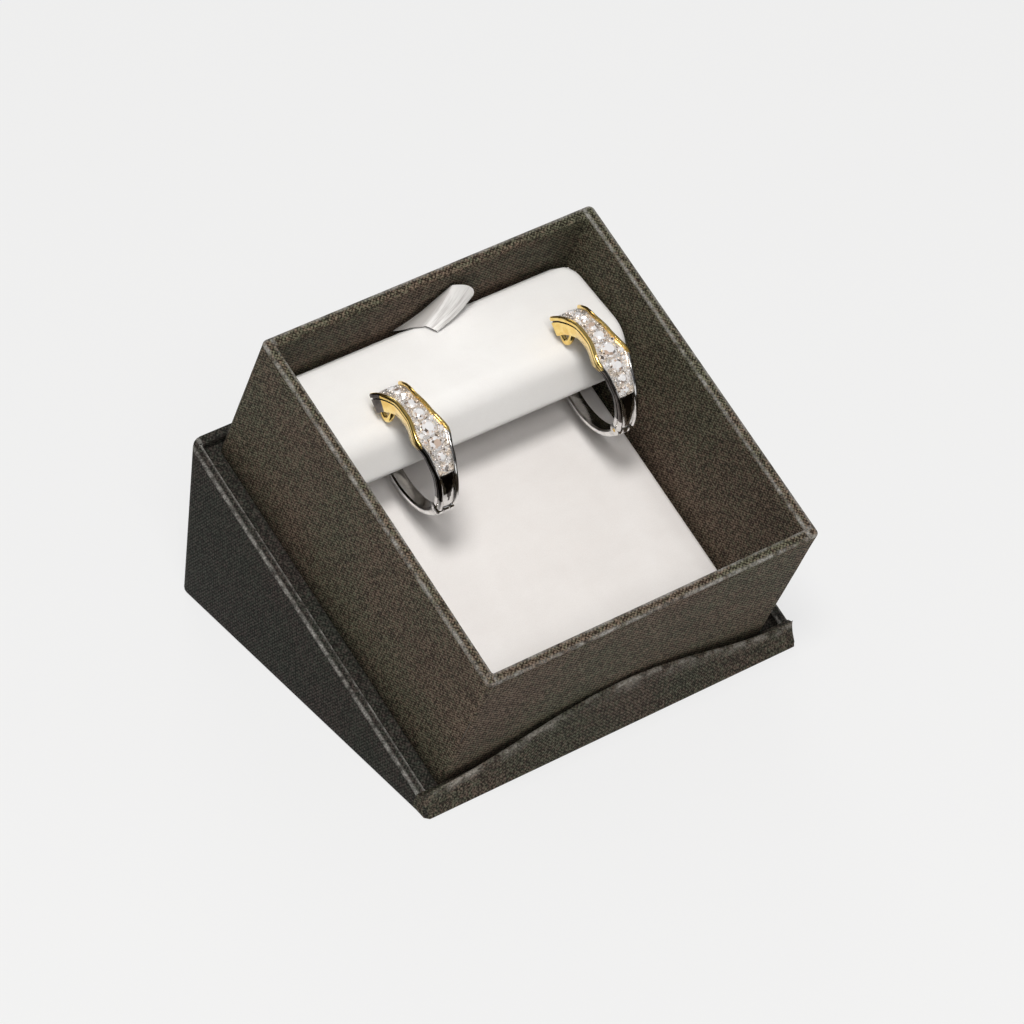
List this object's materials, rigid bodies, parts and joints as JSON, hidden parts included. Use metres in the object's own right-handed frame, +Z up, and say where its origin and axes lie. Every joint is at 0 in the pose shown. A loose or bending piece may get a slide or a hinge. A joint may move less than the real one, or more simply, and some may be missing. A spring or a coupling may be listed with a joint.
{
  "type": "earring box",
  "caption": "Tilting earring box: a paper-wrapped tray leans back in a wedge stand and holds a velvet insert with a raised flap and hinged hoop earrings.",
  "frame": {"origin": "centre of the bounding box at its base, on the surface the stand rests on", "axes": "+Z up, -Y towards the front lip the tray leans down to, +X to the right seen from the front"},
  "size_m": [0.0622, 0.0692, 0.0511],
  "materials": {
    "grain_paper": "dark brown paper with a linen grain, satin",
    "board": "dark grey-brown pressed board, matt",
    "white_velvet": "warm white short-pile velvet",
    "white_card": "white card, matt",
    "satin_ribbon": "thin warm grey satin",
    "gold": "polished yellow gold",
    "white_gold": "polished white gold",
    "clear_stone": "clear faceted stone"
  },
  "bodies": {
    "stand": {"stand_base_paper": "grain_paper", "stand_bottom_board": "board", "stand_left_board": "board", "stand_right_board": "board", "stand_back_board": "board", "stand_seat_board": "board", "stand_left_support": "board", "stand_right_support": "board", "stand_wrap": "grain_paper", "stand_front_lip": "grain_paper"},
    "tray": {"tray_floor_board": "board", "tray_left_board": "board", "tray_right_board": "board", "tray_front_board": "board", "tray_back_board": "board", "tray_wrap": "grain_paper"},
    "insert": {"insert_base_card": "white_card", "insert_pad": "white_velvet", "insert_riser": "white_card", "insert_flap_card": "white_card", "insert_flap_pad": "white_velvet", "ribbon_pull": "satin_ribbon", "earring_left_rails": "gold", "earring_left_setting": "white_gold", "earring_left_stones": "clear_stone", "earring_left_post": "gold", "earring_left_pin": "gold", "earring_right_rails": "gold", "earring_right_setting": "white_gold", "earring_right_stones": "clear_stone", "earring_right_post": "gold", "earring_right_pin": "gold"},
    "earring_left_lever_body": {"earring_left_lever": "white_gold"},
    "earring_right_lever_body": {"earring_right_lever": "white_gold"}
  },
  "joints": [
    {"name": "tray_lift", "type": "slide", "parent": "stand", "child": "tray", "axis": [0, -0.4226, 0.9063], "range_m": [0, 0.04]},
    {"name": "insert_lift", "type": "slide", "parent": "tray", "child": "insert", "axis": [0, -0.4226, 0.9063], "range_m": [0, 0.035]},
    {"name": "earring_left_hinge", "type": "hinge", "parent": "insert", "child": "earring_left_lever_body", "pos_m": [-0.01275, -0.00398, 0.03056], "axis": [-1, 0, 0], "range_deg": [0, 24]},
    {"name": "earring_right_hinge", "type": "hinge", "parent": "insert", "child": "earring_right_lever_body", "pos_m": [0.01675, -0.00398, 0.03056], "axis": [-1, 0, 0], "range_deg": [0, 24]}
  ]
}
